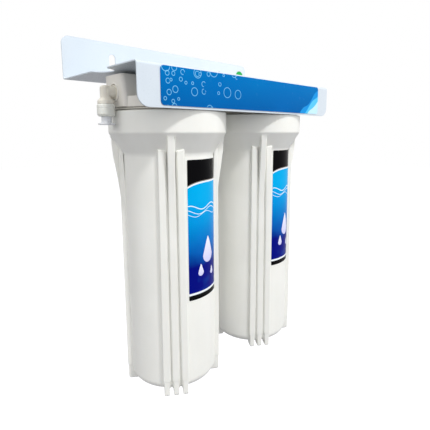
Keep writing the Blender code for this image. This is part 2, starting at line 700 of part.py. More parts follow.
def foot_outline(offset):
    """The foot that ends a rib below the cup, narrower than the rib above it."""
    reach = BODY_RADIUS + RIB_RISE - FOOT_STEP
    high = BODY_BOTTOM + FOOT_HEIGHT + FOOT_STEP
    low = BODY_BOTTOM - FOOT_DROP
    corner = BODY_BOTTOM + BOTTOM_CORNER_RADIUS * 2 / 3
    points = [
        (reach, high),
        (reach, low + FOOT_TIP),
        (reach - FOOT_TIP / 3, low + FOOT_TIP / 3),
        (reach - FOOT_TIP, low),
        (reach - FOOT_LENGTH, low),
        (BODY_RADIUS - BOTTOM_CORNER_RADIUS, BODY_BOTTOM + FLOOR_THICKNESS / 2),
        (wall_middle(corner, offset), corner),
        (wall_middle(high, offset), high),
    ]
    return [(reach, height, FOOT_WIDTH) for reach, height in points]


def upright_shape(outline, offset):
    """A rib or foot of an outline, standing toward -Y, moved sideways by its offset."""
    bm = bmesh.new()
    sides = []
    for side in (-0.5, 0.5):
        sides.append([bm.verts.new((offset + side * w, -r, z)) for r, z, w in outline])
    left, right = sides
    bm.faces.new(left)
    bm.faces.new(right)
    for here in range(len(outline)):
        after = (here + 1) % len(outline)
        bm.faces.new((left[here], left[after], right[after], right[here]))
    bm.normal_update()
    bmesh.ops.triangulate(bm, faces=bm.faces)
    return mesh_from(bm)


def sump_shape():
    shape = sump_cup_shape()
    for outline in (rib_outline, foot_outline):
        offsets = (-RIB_PITCH, 0.0, RIB_PITCH)
        group = joined(*[upright_shape(outline(offset), offset) for offset in offsets])
        groups = []
        for place in range(RIB_GROUPS):
            turn = 2 * math.pi * place / RIB_GROUPS - RIB_GROUP_TURN
            groups.append(moved(group, Matrix.Rotation(turn, 4, "Z")))
        shape = combined(shape, joined(*groups), "UNION")
    return shape


def bored_shape(outer, bore, low, high):
    """A plain tube."""
    return turned([(bore, high), (outer, high), (outer, low), (bore, low)], MIDDLE_TURN)


def carbon_end_cap_shape(end, inward):
    """The cup that closes one end of the carbon block. Inward is -1 at the top end."""
    floor = end + inward * END_CAP_THICKNESS
    rim = end + inward * END_CAP_SKIRT
    profile = [
        (CARTRIDGE_BORE_RADIUS, end),
        (CARTRIDGE_RADIUS, end),
        (CARTRIDGE_RADIUS, rim),
        (CARTRIDGE_RADIUS - END_CAP_WALL, rim),
        (CARTRIDGE_RADIUS - END_CAP_WALL, floor),
        (CARTRIDGE_BORE_RADIUS, floor),
    ]
    return turned(profile, MIDDLE_TURN)


def build_cartridges(inlet, outlet):
    low = CARTRIDGE_BOTTOM
    high = CARTRIDGE_TOP
    bore = CARTRIDGE_BORE_RADIUS
    gasket_outer = KNIFE_RADIUS + 2 * KNIFE_WIDTH
    sediment = bored_shape(CARTRIDGE_RADIUS, bore, low, high)
    placed("sediment_cartridge", sediment, WHITE_FIBRE, inlet)
    gasket_low = low + GASKET_THICKNESS
    gasket_high = high - GASKET_THICKNESS
    gaskets = (("top", gasket_high, high), ("bottom", low, gasket_low))
    for end, bottom, top in gaskets:
        gasket = bored_shape(gasket_outer, bore, bottom, top)
        placed("carbon_gasket_" + end, gasket, BLACK_RUBBER, outlet)
    cap_low = gasket_low + CLEARANCE
    cap_high = gasket_high - CLEARANCE
    placed("carbon_end_cap_top", carbon_end_cap_shape(cap_high, -1), WHITE_PLASTIC, outlet)
    placed("carbon_end_cap_bottom", carbon_end_cap_shape(cap_low, 1), WHITE_PLASTIC, outlet)
    block_low = cap_low + END_CAP_THICKNESS + CLEARANCE
    block_high = cap_high - END_CAP_THICKNESS - CLEARANCE
    block_radius = CARTRIDGE_RADIUS - END_CAP_WALL - CLEARANCE
    placed("carbon_block", bored_shape(block_radius, bore, block_low, block_high), CARBON, outlet)


def screw_shape():
    """A hexagon screw with a flange, its flange's underside at height zero."""
    head = SCREW_HEAD_FLATS / 2
    profile = [
        (0, -SCREW_LENGTH),
        (SCREW_SHANK_RADIUS, -SCREW_LENGTH),
        (SCREW_SHANK_RADIUS, 0),
        (SCREW_FLANGE_RADIUS, 0),
        (SCREW_FLANGE_RADIUS, SCREW_FLANGE_HEIGHT),
        (head, SCREW_FLANGE_HEIGHT),
        (head, SCREW_FLANGE_HEIGHT + SCREW_HEAD_HEIGHT),
        (0, SCREW_FLANGE_HEIGHT + SCREW_HEAD_HEIGHT),
    ]
    return turned(profile, SCREW_TURN, hexagons=(5, 6))


def elbow_shape():
    """The inlet elbow: a threaded stub toward +X, and a socket that opens downwards.

    Its own origin is where the axis of the arm meets the upright axis.
    """
    arm_end = ELBOW_REACH - CLEARANCE
    upright = [
        (0, ELBOW_TOP),
        (ELBOW_RADIUS / 2, ELBOW_TOP),
        (ELBOW_RADIUS, ELBOW_TOP - ELBOW_RADIUS / 3),
        (ELBOW_RADIUS, -ELBOW_FLARE_DROP),
        (ELBOW_RING_RADIUS, -ELBOW_RING_TOP),
        (ELBOW_RING_RADIUS, ELBOW_RING_BOTTOM),
        (SKIRT_RADIUS, ELBOW_RING_BOTTOM),
        (SKIRT_RADIUS, SOCKET_END),
        (0, SOCKET_END),
    ]
    arm = [
        (0, 0),
        (ELBOW_ARM_RADIUS, 0),
        (ELBOW_ARM_RADIUS, arm_end),
        (STUB_RADIUS, arm_end),
        (STUB_RADIUS, arm_end + STUB_LENGTH),
        (0, arm_end + STUB_LENGTH),
    ]
    socket = [
        (0, 0),
        (ELBOW_BORE_RADIUS, 0),
        (ELBOW_BORE_RADIUS, -ELBOW_FLARE_DROP),
        (TUBE_BORE, -ELBOW_FLARE_DROP),
        (TUBE_BORE, -ELBOW_RING_TOP),
        (SOCKET_RADIUS, -ELBOW_RING_TOP),
        (SOCKET_RADIUS, SOCKET_END - OVERRUN),
        (0, SOCKET_END - OVERRUN),
    ]
    passage = along_x(rod(ELBOW_BORE_RADIUS, 0.0, arm_end + STUB_LENGTH + OVERRUN, SMALL_TURN))
    shape = combined(turned(upright, SMALL_TURN), along_x(turned(arm, SMALL_TURN)), "UNION")
    shape = combined(shape, turned(socket, SMALL_TURN), "DIFFERENCE")
    return combined(shape, passage, "DIFFERENCE")


def nut_shape():
    """The nut that holds the collet in the elbow's socket."""
    mouth = COLLET_RADIUS + CLEARANCE
    bore = SKIRT_RADIUS + CLEARANCE
    profile = [
        (bore, NUT_TOP),
        (NUT_RADIUS - NUT_EDGE, NUT_TOP),
        (NUT_RADIUS, NUT_TOP - NUT_EDGE),
        (NUT_RADIUS, NUT_BOTTOM + NUT_EDGE),
        (NUT_RADIUS - NUT_EDGE, NUT_BOTTOM),
        (mouth, NUT_BOTTOM),
        (mouth, NUT_BOTTOM + NUT_FLOOR),
        (bore, NUT_BOTTOM + NUT_FLOOR),
    ]
    return turned(profile, SMALL_TURN)


def collet_shape():
    """The release collet: barbed sleeve, neck and finger flange."""
    flange_top = NUT_BOTTOM - COLLET_NECK
    flange_end = flange_top - COLLET_FLANGE_HEIGHT
    barb = COLLET_RADIUS + COLLET_BARB
    profile = [
        (TUBE_BORE, SOCKET_END + COLLET_TAIL),
        (COLLET_RADIUS, SOCKET_END + COLLET_TAIL),
        (barb, SOCKET_END + COLLET_TAIL / 2),
        (barb, SOCKET_END),
        (COLLET_RADIUS, SOCKET_END),
        (COLLET_RADIUS, flange_top),
        (COLLET_FLANGE_RADIUS, flange_top),
        (COLLET_FLANGE_RADIUS, flange_end),
        (TUBE_BORE, flange_end),
    ]
    return turned(profile, SMALL_TURN)


def tube_seal_shape():
    middle = SOCKET_RADIUS - CLEARANCE - TUBE_SEAL_RADIUS
    height = -ELBOW_RING_TOP - CLEARANCE - TUBE_SEAL_RADIUS
    return ring_shape(middle, TUBE_SEAL_RADIUS, height, SMALL_TURN, SEAL_SIDES)


def nipple_shape():
    """The hexagon nipple that joins one cap's outlet to the next cap's inlet."""
    half = PORT_GAP / 2 - CLEARANCE
    end = half + STUB_LENGTH
    profile = [
        (WATERWAY_RADIUS, -end),
        (STUB_RADIUS, -end),
        (STUB_RADIUS, -half),
        (NIPPLE_FLATS / 2, -half),
        (NIPPLE_FLATS / 2, half),
        (STUB_RADIUS, half),
        (STUB_RADIUS, end),
        (WATERWAY_RADIUS, end),
    ]
    return along_x(turned(profile, SCREW_TURN, hexagons=(3, 4)))


def build_bracket():
    placed("bracket", bracket_shape(), COATED_STEEL)
    placed("fascia_label", fascia_label_shape(), BLUE_PRINT)
    across = BRACKET_LENGTH / 2 - STICKER_FROM_END
    height = SHELF_UNDERSIDE + BACK_HEIGHT - STICKER_FROM_TOP
    placed("inspection_sticker", sticker_shape(), GREEN_PAPER, (across, -SHEET - CLEARANCE, height))


def build_housings(inlet, outlet):
    cap = cap_shape()
    seal = cap_seal_shape()
    sump = sump_shape()
    gaps = (INLET_LABEL_GAP, OUTLET_LABEL_GAP)
    for stage, place, gap in zip(("inlet", "outlet"), (inlet, outlet), gaps):
        placed(stage + "_cap", cap, WHITE_PLASTIC, place)
        placed(stage + "_cap_seal", seal, BLACK_RUBBER, place)
        placed(stage + "_sump", sump, WHITE_PLASTIC, place)
        placed(stage + "_sump_label", sump_label_shape(gap), BLUE_PRINT, place)


def build_screws(inlet, outlet):
    screw = screw_shape()
    seat = SHELF_UNDERSIDE + SHEET + CLEARANCE
    for stage, place in (("inlet", inlet), ("outlet", outlet)):
        for number, (x, y) in enumerate(screw_places(), start=1):
            name = f"{stage}_cap_screw_{number}"
            placed(name, screw, ZINC, (place[0] + x, place[1] + y, seat))


def build_fittings(inlet, outlet):
    shapes = (
        ("elbow", elbow_shape(), IVORY_PLASTIC),
        ("elbow_nut", nut_shape(), IVORY_PLASTIC),
        ("collet", collet_shape(), COOL_PLASTIC),
        ("tube_seal", tube_seal_shape(), BLACK_RUBBER),
    )
    reach = PORT_FACE + ELBOW_REACH
    height = COLLAR_TOP + PORT_HEIGHT
    ends = (("inlet", inlet[0] - reach, 0.0), ("outlet", outlet[0] + reach, math.pi))
    for stage, across, turn in ends:
        for name, shape, finish in shapes:
            placed(f"{stage}_{name}", shape, finish, (across, -HOUSING_FROM_WALL, height), turn)
    placed("joining_nipple", nipple_shape(), IVORY_PLASTIC, (0.0, -HOUSING_FROM_WALL, height))


def build():
    clear_scene()
    inlet = (-HOUSING_X, -HOUSING_FROM_WALL, COLLAR_TOP)
    outlet = (HOUSING_X, -HOUSING_FROM_WALL, COLLAR_TOP)
    build_bracket()
    build_housings(inlet, outlet)
    build_cartridges(inlet, outlet)
    build_screws(inlet, outlet)
    build_fittings(inlet, outlet)


build()
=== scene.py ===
"""Visible detail and studio of a two-stage water purifier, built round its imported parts.

Metres, +Z up, the wall on the +Y side. Pieces of a housing are built in the housing's own
frame, whose origin is on its axis at the top edge of the sump's collar.
"""

import math

import bmesh
import bpy
from mathutils import Matrix, Vector


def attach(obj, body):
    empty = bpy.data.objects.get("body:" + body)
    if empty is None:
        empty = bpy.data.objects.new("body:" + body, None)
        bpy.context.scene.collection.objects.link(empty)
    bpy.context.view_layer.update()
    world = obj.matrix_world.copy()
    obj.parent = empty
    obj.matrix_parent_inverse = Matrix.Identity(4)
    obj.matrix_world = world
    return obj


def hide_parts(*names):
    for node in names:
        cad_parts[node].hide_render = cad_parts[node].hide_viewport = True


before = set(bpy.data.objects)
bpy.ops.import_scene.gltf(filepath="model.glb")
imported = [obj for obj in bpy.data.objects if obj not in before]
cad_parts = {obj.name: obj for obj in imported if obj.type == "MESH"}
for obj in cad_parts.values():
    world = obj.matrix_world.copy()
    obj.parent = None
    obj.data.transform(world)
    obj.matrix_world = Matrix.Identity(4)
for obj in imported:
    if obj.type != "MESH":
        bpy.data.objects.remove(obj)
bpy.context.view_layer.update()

MM = 0.001
WALL_DISTANCE = 79.2 * MM
COLLAR_TOP = -56.0 * MM
HOUSING_X = 63.8 * MM
PORT_Z = -39.6 * MM
PORT_RISE = PORT_Z - COLLAR_TOP
ELBOW_X = 131.3 * MM
HOUSINGS = {"inlet": -HOUSING_X, "outlet": HOUSING_X}
SCREW_OFFSET = 27 * MM
LABEL_TOPS = {"inlet": -45.0 * MM, "outlet": -40.5 * MM}

COLLAR_RADIUS = 59.0 * MM
CONE_TOP = -19.9 * MM
CONE_END = -40 * MM
CONE_DROP = 20.1 * MM
BODY_RADIUS = 46.0 * MM
BOTTOM = -277.6 * MM
BOTTOM_CORNER = 9.5 * MM

RIB_GROUPS = 4
RIB_GROUP_TURN = math.radians(34)
RIB_OFFSET = 9.3 * MM
RIB_REACH = 49.2 * MM
RIB_HALF_WIDTH = 3.75 * MM
RIB_FLARE = 7.7 * MM
FLARE_LENGTH = 90 * MM
SIDE_RIB_TOP = -36 * MM
FOOT_TOP = -264.7 * MM
FOOT_END = -281.0 * MM
FOOT_REACH = 48.8 * MM
FOOT_TIP = 2.4 * MM

SHEET = 1.2
BRACKET_END = 136.25
BRACKET_TOP = 22.0
SHELF_TOP = -20.8
FASCIA_FRONT = -140.2
FASCIA_END = -55.9

PICTURE_SIZE = 430.0


def combined(base, tool, operation):
    """The mesh that an exact Boolean makes of two meshes."""
    holder = bpy.data.objects.new("boolean_base", base)
    helper = bpy.data.objects.new("boolean_tool", tool)
    for made in (holder, helper):
        bpy.context.scene.collection.objects.link(made)
    modifier = holder.modifiers.new("boolean", "BOOLEAN")
    modifier.operation = operation
    modifier.solver = "EXACT"
    modifier.object = helper
    graph = bpy.context.evaluated_depsgraph_get()
    result = bpy.data.meshes.new_from_object(holder.evaluated_get(graph))
    for made in (holder, helper):
        bpy.data.objects.remove(made, do_unlink=True)
    return result


def mesh_from(bm):
    bmesh.ops.recalc_face_normals(bm, faces=bm.faces)
    mesh = bpy.data.meshes.new("piece")
    bm.to_mesh(mesh)
    bm.free()
    return mesh


def joined(*meshes):
    bm = bmesh.new()
    for mesh in meshes:
        bm.from_mesh(mesh)
    return mesh_from(bm)


def moved(mesh, matrix):
    copy = mesh.copy()
    copy.transform(matrix)
    return copy


def filleted(corners, steps=4):
    """A closed outline of (a, b, fillet radius) corners, each fillet drawn as an arc."""
    points = []
    for place, (a, b, radius) in enumerate(corners):
        here = Vector((a, b))
        back = Vector(corners[place - 1][:2]) - here
        ahead = Vector(corners[(place + 1) % len(corners)][:2]) - here
        half = back.angle(ahead) / 2
        if radius == 0 or half > 1.55:
            points.append((a, b))
            continue
        reach = min(radius / math.tan(half), 0.49 * min(back.length, ahead.length))
        radius = reach * math.tan(half)
        centre = here + (back.normalized() + ahead.normalized()).normalized() * radius / math.sin(half)
        start = here + back.normalized() * reach - centre
        end = here + ahead.normalized() * reach - centre
        turn = math.atan2(start.cross(end), start.dot(end))
        for step in range(steps + 1):
            spoke = Matrix.Rotation(turn * step / steps, 2) @ start
            points.append(tuple(centre + spoke))
    return points


def millimetres(corners):
    return [tuple(value * MM for value in corner) for corner in corners]


def revolved(profile, segments=96):
    """A solid of revolution about Z from a closed loop of (radius, height) points."""
    bm = bmesh.new()
    rings = []
    for radius, height in profile:
        if radius < 1e-7:
            rings.append([bm.verts.new((0, 0, height))])
            continue
        ring = []
        for segment in range(segments):
            angle = 2 * math.pi * segment / segments
            ring.append(bm.verts.new((radius * math.cos(angle), radius * math.sin(angle), height)))
        rings.append(ring)
    for first, second in zip(rings, rings[1:] + rings[:1]):
        if len(first) == len(second) == 1:
            continue
        for here in range(segments):
            after = (here + 1) % segments
            corners = [first[here % len(first)], first[after % len(first)]]
            corners += [second[after % len(second)], second[here % len(second)]]
            bm.faces.new(list(dict.fromkeys(corners)))
    return mesh_from(bm)


def turned(corners, segments=96, steps=4):
    """A solid of revolution from corners in millimetres, (radius, height, fillet radius)."""
    return revolved(filleted(millimetres(corners), steps), segments)


def prism(outline, axis, low, high):
    """A flat outline pushed along an axis. The outline's two numbers are the other two axes."""
    places = {
        "X": lambda first, second, along: (along, first, second),
        "Y": lambda first, second, along: (first, along, second),
        "Z": lambda first, second, along: (first, second, along),
    }
    bm = bmesh.new()
    rows = []
    for along in (low, high):
        rows.append([bm.verts.new(places[axis](a, b, along)) for a, b in outline])
    for row in rows:
        bm.faces.new(row)
    for here in range(len(outline)):
        after = (here + 1) % len(outline)
        bm.faces.new((rows[0][here], rows[0][after], rows[1][after], rows[1][here]))
    return mesh_from(bm)


def bevelled(mesh, width, segments=2, angle=35):
    """The mesh with its sharp edges rounded."""
    holder = bpy.data.objects.new("bevel_base", mesh)
    bpy.context.scene.collection.objects.link(holder)
    modifier = holder.modifiers.new("bevel", "BEVEL")
    modifier.width = width
    modifier.segments = segments
    modifier.limit_method = "ANGLE"
    modifier.angle_limit = math.radians(angle)
    graph = bpy.context.evaluated_depsgraph_get()
    result = bpy.data.meshes.new_from_object(holder.evaluated_get(graph))
    bpy.data.objects.remove(holder, do_unlink=True)
    return result


def piece(name, mesh, material, body, nodes, location=(0, 0, 0), turn=0.0):
    """A visible piece: shaded, placed, riding on its body and standing for its nodes."""
    mesh = mesh.copy()
    mesh.name = name
    mesh.materials.clear()
    mesh.materials.append(material)
    mesh.shade_smooth()
    mesh.set_sharp_from_angle(angle=math.radians(32))
    made = bpy.data.objects.new(name, mesh)
    made.location = location
    made.rotation_euler = (0, 0, turn)
    bpy.context.scene.collection.objects.link(made)
    weighted = made.modifiers.new("weighted", "WEIGHTED_NORMAL")
    weighted.keep_sharp = True
    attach(made, body)
    if nodes:
        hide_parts(*nodes)
    return made


class Shader:
    """A material's node tree, with short names for the nodes that it uses."""

    def __init__(self, name):
        self.material = bpy.data.materials.new(name)
        self.material.use_nodes = True
        self.tree = self.material.node_tree
        self.surface = self.tree.nodes["Principled BSDF"]
        self.place = self.tree.nodes.new("ShaderNodeTexCoord").outputs["Object"]

    def link(self, value, socket):
        if isinstance(value, bpy.types.NodeSocket):
            self.tree.links.new(value, socket)
        else:
            socket.default_value = value

    def math(self, operation, *values, clamp=False):
        node = self.tree.nodes.new("ShaderNodeMath")
        node.operation = operation
        node.use_clamp = clamp
        for value, socket in zip(values, node.inputs):
            self.link(value, socket)
        return node.outputs[0]

    def noise(self, scale, detail=3.0, stretch=(1, 1, 1)):
        mapping = self.tree.nodes.new("ShaderNodeMapping")
        self.link(self.place, mapping.inputs["Vector"])
        mapping.inputs["Scale"].default_value = stretch
        node = self.tree.nodes.new("ShaderNodeTexNoise")
        self.link(mapping.outputs[0], node.inputs["Vector"])
        node.inputs["Scale"].default_value = scale
        node.inputs["Detail"].default_value = detail
        return node.outputs["Fac"]

    def ramp(self, value, low, high, start=0.0, end=1.0):
        """Value mapped from low..high to start..end, and held there."""
        node = self.tree.nodes.new("ShaderNodeMapRange")
        self.link(value, node.inputs["Value"])
        for place, number in zip(("From Min", "From Max", "To Min", "To Max"), (low, high, start, end)):
            node.inputs[place].default_value = number
        return node.outputs[0]

    def mix(self, share, first, second):
        node = self.tree.nodes.new("ShaderNodeMix")
        node.data_type = "RGBA"
        self.link(share, node.inputs["Factor"])
        self.link(first, node.inputs["A"])
        self.link(second, node.inputs["B"])
        return node.outputs["Result"]

    def split(self):
        node = self.tree.nodes.new("ShaderNodeSeparateXYZ")
        self.link(self.place, node.inputs[0])
        return node.outputs

    def bump(self, height, strength, distance):
        node = self.tree.nodes.new("ShaderNodeBump")
        self.link(height, node.inputs["Height"])
        node.inputs["Strength"].default_value = strength
        node.inputs["Distance"].default_value = distance
        self.link(node.outputs[0], self.surface.inputs["Normal"])

    def set(self, **values):
        for name, value in values.items():
            self.link(value, self.surface.inputs[name.replace("_", " ")])
        return self.material


def rgb(red, green, blue):
    """A screen colour of 0 to 255 as the linear colour that a shader takes."""
    linear = []
    for value in (red, green, blue):
        value /= 255
        linear.append(value / 12.92 if value <= 0.04045 else ((value + 0.055) / 1.055) ** 2.4)
    return (*linear, 1.0)


def moulded_plastic(name, colour, shade, roughness):
    """Moulded plastic: faint flow streaks, cloudy colour and a fine grain in the surface."""
    shader = Shader(name)
    clouds = shader.noise(28, 4)
    streaks = shader.noise(1, 5, (90, 90, 9))
    share = shader.math("MULTIPLY_ADD", clouds, 0.6, shader.math("MULTIPLY", streaks, 0.4))
    grain = shader.noise(2600, 2)
    wear = shader.math("ADD", streaks, shader.math("MULTIPLY", grain, 0.3))
    shader.bump(shader.math("ADD", grain, shader.math("MULTIPLY", clouds, 2.0)), 0.12, 0.04 * MM)
    return shader.set(
        Base_Color=shader.mix(shader.ramp(share, 0.3, 0.7), shade, colour),
        Roughness=shader.ramp(wear, 0.3, 1.0, roughness - 0.05, roughness + 0.07),
        Specular_IOR_Level=0.5,
        Subsurface_Weight=0.06,
        Subsurface_Radius=(0.6, 0.5, 0.4),
        Subsurface_Scale=2.0 * MM,
    )


def powder_coat():
    """Bluish white powder coat with a fine orange peel."""
    shader = Shader("powder_coat")
    peel = shader.noise(900, 2)
    clouds = shader.noise(14, 3)
    shader.bump(peel, 0.10, 0.05 * MM)
    colour = shader.mix(shader.ramp(clouds, 0.3, 0.7), rgb(206, 216, 225), rgb(214, 223, 231))
    return shader.set(
        Base_Color=colour,
        Roughness=shader.ramp(peel, 0.3, 0.7, 0.26, 0.36),
        Specular_IOR_Level=0.5,
        Coat_Weight=0.15,
        Coat_Roughness=0.2,
    )


def rubber():
    shader = Shader("seal_rubber")
    grain = shader.noise(1500, 3)
    shader.bump(grain, 0.2, 0.03 * MM)
    return shader.set(
        Base_Color=shader.mix(grain, rgb(20, 20, 21), rgb(34, 34, 35)),
        Roughness=shader.ramp(grain, 0.3, 0.7, 0.5, 0.7),
    )


def zinc_plate():
    shader = Shader("zinc_plate")
    wear = shader.noise(350, 4)
    shader.bump(wear, 0.15, 0.03 * MM)
    return shader.set(
        Base_Color=shader.mix(wear, rgb(176, 178, 182), rgb(212, 213, 216)),
        Metallic=1.0,
        Roughness=shader.ramp(wear, 0.3, 0.7, 0.24, 0.42),
    )


def filter_fibre():
    shader = Shader("filter_fibre")
    fibres = shader.noise(1, 6, (900, 900, 2600))
    shader.bump(fibres, 0.7, 0.3 * MM)
    return shader.set(
        Base_Color=shader.mix(fibres, rgb(214, 214, 208), rgb(243, 243, 238)),
        Roughness=0.95,
    )


def pressed_carbon():
    shader = Shader("pressed_carbon")
    grains = shader.noise(1400, 5)
    shader.bump(grains, 0.8, 0.2 * MM)
    return shader.set(
        Base_Color=shader.mix(grains, rgb(18, 18, 19), rgb(52, 52, 54)),
        Roughness=shader.ramp(grains, 0.3, 0.7, 0.7, 0.95),
    )


def sticker_green():
    shader = Shader("sticker_green")
    ink = shader.noise(240, 3)
    return shader.set(
        Base_Color=shader.mix(ink, rgb(0, 148, 58), rgb(8, 172, 76)),
        Roughness=shader.ramp(ink, 0.3, 0.7, 0.35, 0.5),
    )


WHITE = moulded_plastic("white_moulding", rgb(243, 243, 238), rgb(236, 236, 230), 0.36)
CAP_WHITE = moulded_plastic("cap_moulding", rgb(236, 233, 226), rgb(228, 225, 217), 0.42)
IVORY = moulded_plastic("ivory_moulding", rgb(236, 232, 220), rgb(225, 220, 206), 0.36)
PALE = moulded_plastic("pale_moulding", rgb(236, 237, 230), rgb(226, 227, 219), 0.36)
COOL = moulded_plastic("cool_moulding", rgb(228, 230, 233), rgb(214, 217, 222), 0.3)
COAT = powder_coat()
RUBBER = rubber()
ZINC = zinc_plate()


def sump_label_material(name, top):
    """Print of a sump's label: black band, arc, blue to navy field and a stripe at the foot."""
    shader = Shader(name)
    x, y, z = shader.split()
    angle = shader.math("ARCTAN2", x, shader.math("MULTIPLY", y, -1.0))
    across = shader.math("MULTIPLY", angle, BODY_RADIUS)
    down = shader.math("SUBTRACT", top, z)
    field = shader.ramp(down, 40 * MM, 106 * MM)
    blue = shader.mix(field, rgb(0, 150, 230), rgb(0, 10, 124))
    middle = shader.mix(shader.ramp(down, 40 * MM, 95 * MM), rgb(0, 170, 232), rgb(0, 94, 188))
    blue = shader.mix(shader.ramp(down, 60 * MM, 105 * MM), middle, blue)
    swell = shader.noise(34, 2)
    blue = shader.mix(shader.ramp(swell, 0.45, 0.75, 0.0, 0.35), blue, rgb(20, 130, 230))

    def ripple(height, rise, wavelength, phase, thickness):
        """Share of ink of a wavy line across the label."""
        turn = shader.math("MULTIPLY_ADD", across, 2 * math.pi / wavelength, phase)
        line = shader.math("MULTIPLY_ADD", shader.math("SINE", turn), rise, height)
        gap = shader.math("ABSOLUTE", shader.math("SUBTRACT", down, line))
        return shader.ramp(gap, thickness * 0.7, thickness, 1.0, 0.0)

    def drop(centre_across, centre_down, radius):
        """Share of ink of a water drop whose tip points up."""
        length = 2.4 * radius
        rise = shader.math("SUBTRACT", centre_down, down)
        narrowing = shader.math("POWER", shader.ramp(rise, 0.0, length, 1.0, 0.0), 0.8)
        width = shader.math("MAXIMUM", shader.math("MULTIPLY", narrowing, radius), 0.01 * MM)
        side = shader.math("ABSOLUTE", shader.math("SUBTRACT", across, centre_across))
        above = shader.math("GREATER_THAN", rise, 0.0)
        upper = shader.math("MULTIPLY", shader.math("LESS_THAN", side, width), above)
        upper = shader.math("MULTIPLY", upper, shader.math("LESS_THAN", rise, length))
        squares = [shader.math("POWER", distance, 2.0) for distance in (side, rise)]
        far = shader.math("SQRT", shader.math("ADD", *squares))
        below = shader.math("SUBTRACT", 1.0, above)
        lower = shader.math("MULTIPLY", shader.math("LESS_THAN", far, radius), below)
        return shader.math("MAXIMUM", upper, lower)

    for height, rise, wavelength, phase, thickness in (
        (46 * MM, 2.2 * MM, 30 * MM, 0.6, 0.55 * MM),
        (50 * MM, 2.6 * MM, 34 * MM, 1.4, 0.4 * MM),
        (53 * MM, 2.0 * MM, 28 * MM, 2.3, 0.3 * MM),
    ):
        blue = shader.mix(ripple(height, rise, wavelength, phase, thickness), blue, rgb(225, 242, 252))
    for place, height, radius in (
        (13 * MM, 96 * MM, 8.0 * MM),
        (2 * MM, 112 * MM, 3.6 * MM),
        (20 * MM, 116 * MM, 2.6 * MM),
    ):
        shade = shader.ramp(down, height - 2.2 * radius, height + radius, 0.0, 0.55)
        pale = shader.mix(shade, rgb(240, 240, 250), rgb(168, 168, 236))
        blue = shader.mix(drop(place, height, radius), blue, pale)
    bend = shader.math("POWER", shader.ramp(across, -12 * MM, 30 * MM, 1.0, 0.0), 5.0)
    arc = shader.math("MULTIPLY_ADD", bend, 4.4 * MM, 20.8 * MM)
    over_arc = shader.math("SUBTRACT", arc, down)
    ink = blue
    for measure, start, colour in (
        (over_arc, -1.6 * MM, rgb(236, 241, 246)),
        (over_arc, 0.0, rgb(120, 112, 104)),
        (over_arc, 0.9 * MM, rgb(8, 8, 10)),
        (down, 131.6 * MM, rgb(236, 241, 246)),
        (down, 133.8 * MM, rgb(8, 8, 10)),
    ):
        ink = shader.mix(shader.math("GREATER_THAN", measure, start), ink, colour)
    film = shader.noise(120, 2)
    return shader.set(
        Base_Color=ink,
        Roughness=shader.ramp(film, 0.3, 0.7, 0.08, 0.12),
        Specular_IOR_Level=0.05,
    )


def fascia_label_material():
    """Print of the long label: blue field, bubble rings at the left, pale swells at the right."""
    shader = Shader("fascia_print")
    x, _, z = shader.split()
    lift = shader.ramp(z, -55 * MM, -23 * MM)
    clouds = shader.noise(24, 2)
    blue = shader.mix(lift, rgb(0, 90, 162), rgb(0, 116, 188))
    blue = shader.mix(shader.ramp(clouds, 0.35, 0.75, 0.0, 0.5), blue, rgb(0, 103, 180))
    flat = shader.tree.nodes.new("ShaderNodeCombineXYZ")
    shader.link(x, flat.inputs[0])
    shader.link(z, flat.inputs[1])
    for spacing, end in ((17 * MM, 10 * MM), (7.5 * MM, -20 * MM)):
        cells = shader.tree.nodes.new("ShaderNodeTexVoronoi")
        cells.voronoi_dimensions = "2D"
        shader.link(flat.outputs[0], cells.inputs["Vector"])
        cells.inputs["Scale"].default_value = 1 / spacing
        cells.inputs["Randomness"].default_value = 0.8
        chance = shader.tree.nodes.new("ShaderNodeSeparateColor")
        shader.link(cells.outputs["Color"], chance.inputs[0])
        radius = shader.ramp(chance.outputs[0], 0.0, 1.0, 0.14, 0.3)
        gap = shader.math("ABSOLUTE", shader.math("SUBTRACT", cells.outputs["Distance"], radius))
        ring = shader.ramp(gap, 0.16 * MM / spacing, 0.36 * MM / spacing, 1.0, 0.0)
        limit = shader.ramp(x, -114 * MM, end, 0.2, 1.0)
        ring = shader.math("MULTIPLY", ring, shader.math("GREATER_THAN", chance.outputs[1], limit))
        blue = shader.mix(shader.math("MULTIPLY", ring, 0.7), blue, rgb(140, 216, 246))

    def swell(height, rise, phase, start):
        """Share of ink under a wave that climbs towards the right end."""
        wave = shader.math("SINE", shader.math("MULTIPLY_ADD", x, 2 * math.pi / (26 * MM), phase))
        climb = shader.ramp(x, start, 114 * MM, -34 * MM, height)
        line = shader.math("ADD", shader.math("MULTIPLY_ADD", wave, rise, -23 * MM), climb)
        return shader.ramp(shader.math("SUBTRACT", line, z), 0.0, 0.3 * MM)

    for height, rise, phase, start, colour in (
        (-4 * MM, 1.8 * MM, 0.4, 74 * MM, rgb(30, 146, 220)),
        (-9 * MM, 1.5 * MM, 2.0, 82 * MM, rgb(90, 196, 240)),
        (-16 * MM, 1.2 * MM, 3.6, 90 * MM, rgb(196, 234, 250)),
    ):
        blue = shader.mix(swell(height, rise, phase, start), blue, colour)
    film = shader.noise(120, 2)
    return shader.set(
        Base_Color=blue,
        Roughness=shader.ramp(film, 0.3, 0.7, 0.2, 0.28),
        Specular_IOR_Level=0.03,
    )


def wall_radius(height):
    """Outside radius of the sump's cone, body and bottom corner at a height."""
    if height > CONE_END:
        return BODY_RADIUS + (COLLAR_RADIUS - BODY_RADIUS) * (height - CONE_END) / CONE_DROP
    rise = max(height - BOTTOM, 0.0)
    if rise >= BOTTOM_CORNER:
        return BODY_RADIUS
    return BODY_RADIUS - BOTTOM_CORNER + math.sqrt(BOTTOM_CORNER**2 - (BOTTOM_CORNER - rise) ** 2)


